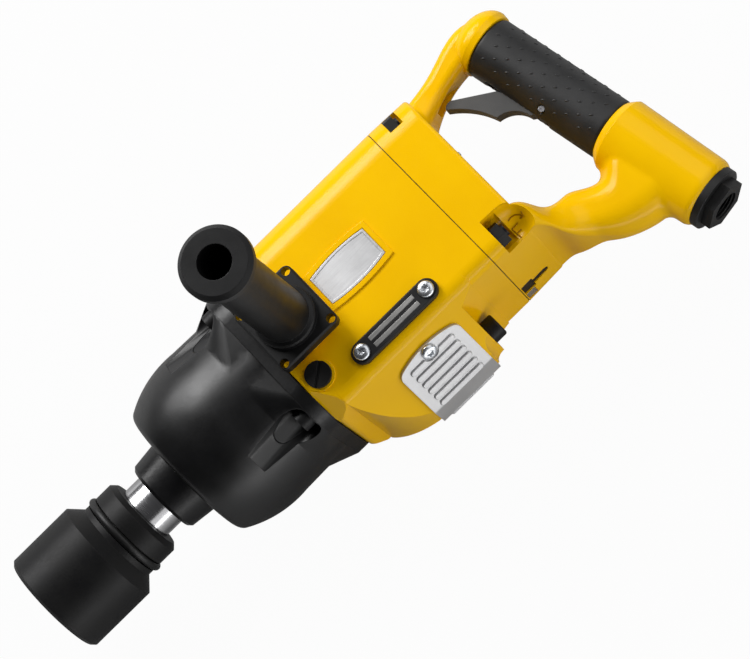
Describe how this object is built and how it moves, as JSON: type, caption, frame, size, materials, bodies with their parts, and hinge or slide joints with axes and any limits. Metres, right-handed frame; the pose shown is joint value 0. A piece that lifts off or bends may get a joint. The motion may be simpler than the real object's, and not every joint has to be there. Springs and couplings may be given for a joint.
{
  "type": "straight impact nutrunner",
  "caption": "Heavy straight air impact nutrunner with a D-handle, trigger, side handle, exhaust deflector and impact socket.",
  "frame": {"origin": "centre of the impact socket's mouth, on the drive axis", "axes": "+X forwards along the drive axis, +Y to the air inlet's side, +Z out of the face that carries the side handle"},
  "size_m": [0.4647, 0.1948, 0.2671],
  "materials": {
    "yellow_paint": "satin",
    "black_paint": "semi-gloss",
    "boot_rubber": "satin",
    "grip_rubber": "matte",
    "seal_rubber": "matte",
    "black_oxide": "black oxide",
    "bright_steel": "ground",
    "spring_steel": "as drawn",
    "cast_iron": "bored",
    "zinc": "zinc plated",
    "bare_aluminium": "blasted",
    "plate_aluminium": "satin",
    "black_plastic": "fine grained",
    "vane_composite": "woven composite",
    "bronze": "sintered",
    "felt": "felted"
  },
  "bodies": {
    "tool": {"motor_housing": "yellow_paint", "handle_frame": "yellow_paint", "clutch_housing": "black_paint", "nose_boot": "boot_rubber", "grip_sleeve": "grip_rubber", "nose_seal": "seal_rubber", "shaft_seal": "seal_rubber", "inlet_ring": "seal_rubber", "oil_plug_seal": "seal_rubber", "front_gasket": "seal_rubber", "rear_gasket": "seal_rubber", "front_bolts": "black_oxide", "rear_studs": "black_oxide", "keel_bolt": "black_oxide", "side_handle_bolt": "black_oxide", "inlet_bushing": "black_oxide", "oil_plug": "black_oxide", "trigger_pin": "bright_steel", "front_bearing_outer": "bright_steel", "rear_bearing_outer": "bright_steel", "side_handle_washer": "bright_steel", "front_end_plate": "bright_steel", "rear_end_plate": "bright_steel", "throttle_spring": "spring_steel", "motor_cylinder": "cast_iron", "deflector_screws": "zinc", "rail_screws": "zinc", "oil_nipple": "zinc", "valve_plate": "zinc", "exhaust_deflector": "bare_aluminium", "rail_inlays": "bare_aluminium", "name_plate": "plate_aluminium", "side_handle": "black_plastic", "side_rail": "black_plastic", "valve_cover": "black_plastic", "anvil_bushing": "bronze", "throttle_bushing": "bronze", "inlet_strainer": "bronze", "silencer_felt": "felt"},
    "rotor": {"rotor": "bright_steel", "vanes": "vane_composite", "front_bearing_inner": "bright_steel", "rear_bearing_inner": "bright_steel", "hammer_driver": "bright_steel", "cam_balls": "bright_steel", "hammer_spring": "spring_steel"},
    "front_ball_set": {"front_bearing_balls": "bright_steel"},
    "rear_ball_set": {"rear_bearing_balls": "bright_steel"},
    "hammer": {"hammer": "bright_steel"},
    "anvil": {"anvil": "bright_steel", "impact_socket": "black_oxide", "socket_retaining_ring": "seal_rubber", "socket_pin": "bright_steel"},
    "trigger": {"trigger": "black_plastic"},
    "throttle": {"throttle_spool": "bright_steel"},
    "reverse": {"reverse_button": "black_plastic"}
  },
  "joints": [
    {"name": "rotor_spin", "type": "hinge", "parent": "tool", "child": "rotor", "pos_m": [-0.2752, 0, 0], "axis": [1, 0, 0], "continuous": true},
    {"name": "front_balls_spin", "type": "hinge", "parent": "tool", "child": "front_ball_set", "pos_m": [-0.2287, 0, 0], "axis": [1, 0, 0], "continuous": true},
    {"name": "rear_balls_spin", "type": "hinge", "parent": "tool", "child": "rear_ball_set", "pos_m": [-0.3217, 0, 0], "axis": [1, 0, 0], "continuous": true},
    {"name": "anvil_spin", "type": "hinge", "parent": "tool", "child": "anvil", "pos_m": [-0.0992, 0, 0], "axis": [1, 0, 0], "continuous": true},
    {"name": "hammer_slide", "type": "slide", "parent": "rotor", "child": "hammer", "axis": [1, 0, 0], "range_m": [-0.011, 0], "stiffness_N_per_m": 9000, "springref_m": 0.012, "deforming": ["hammer_spring"]},
    {"name": "trigger_squeeze", "type": "hinge", "parent": "tool", "child": "trigger", "pos_m": [-0.4107, -0.00245, 0], "axis": [0, 0, -1], "range_deg": [0, 8], "stiffness_Nm_per_rad": 3.4, "springref_deg": -8.59},
    {"name": "throttle_slide", "type": "slide", "parent": "tool", "child": "throttle", "axis": [-0.9848, -0.1736, 0], "range_m": [0, 0.0032], "deforming": ["throttle_spring"]},
    {"name": "reverse_push", "type": "slide", "parent": "tool", "child": "reverse", "axis": [1, 0, 0], "range_m": [0, 0.006]}
  ],
  "couplings": [
    {"joint": "front_balls_spin", "follows": "rotor_spin", "ratio": 0.4228},
    {"joint": "rear_balls_spin", "follows": "rotor_spin", "ratio": 0.4228},
    {"joint": "anvil_spin", "follows": "rotor_spin", "ratio": 1},
    {"joint": "throttle_slide", "follows": "trigger_squeeze", "m_per_rad": 0.022}
  ]
}
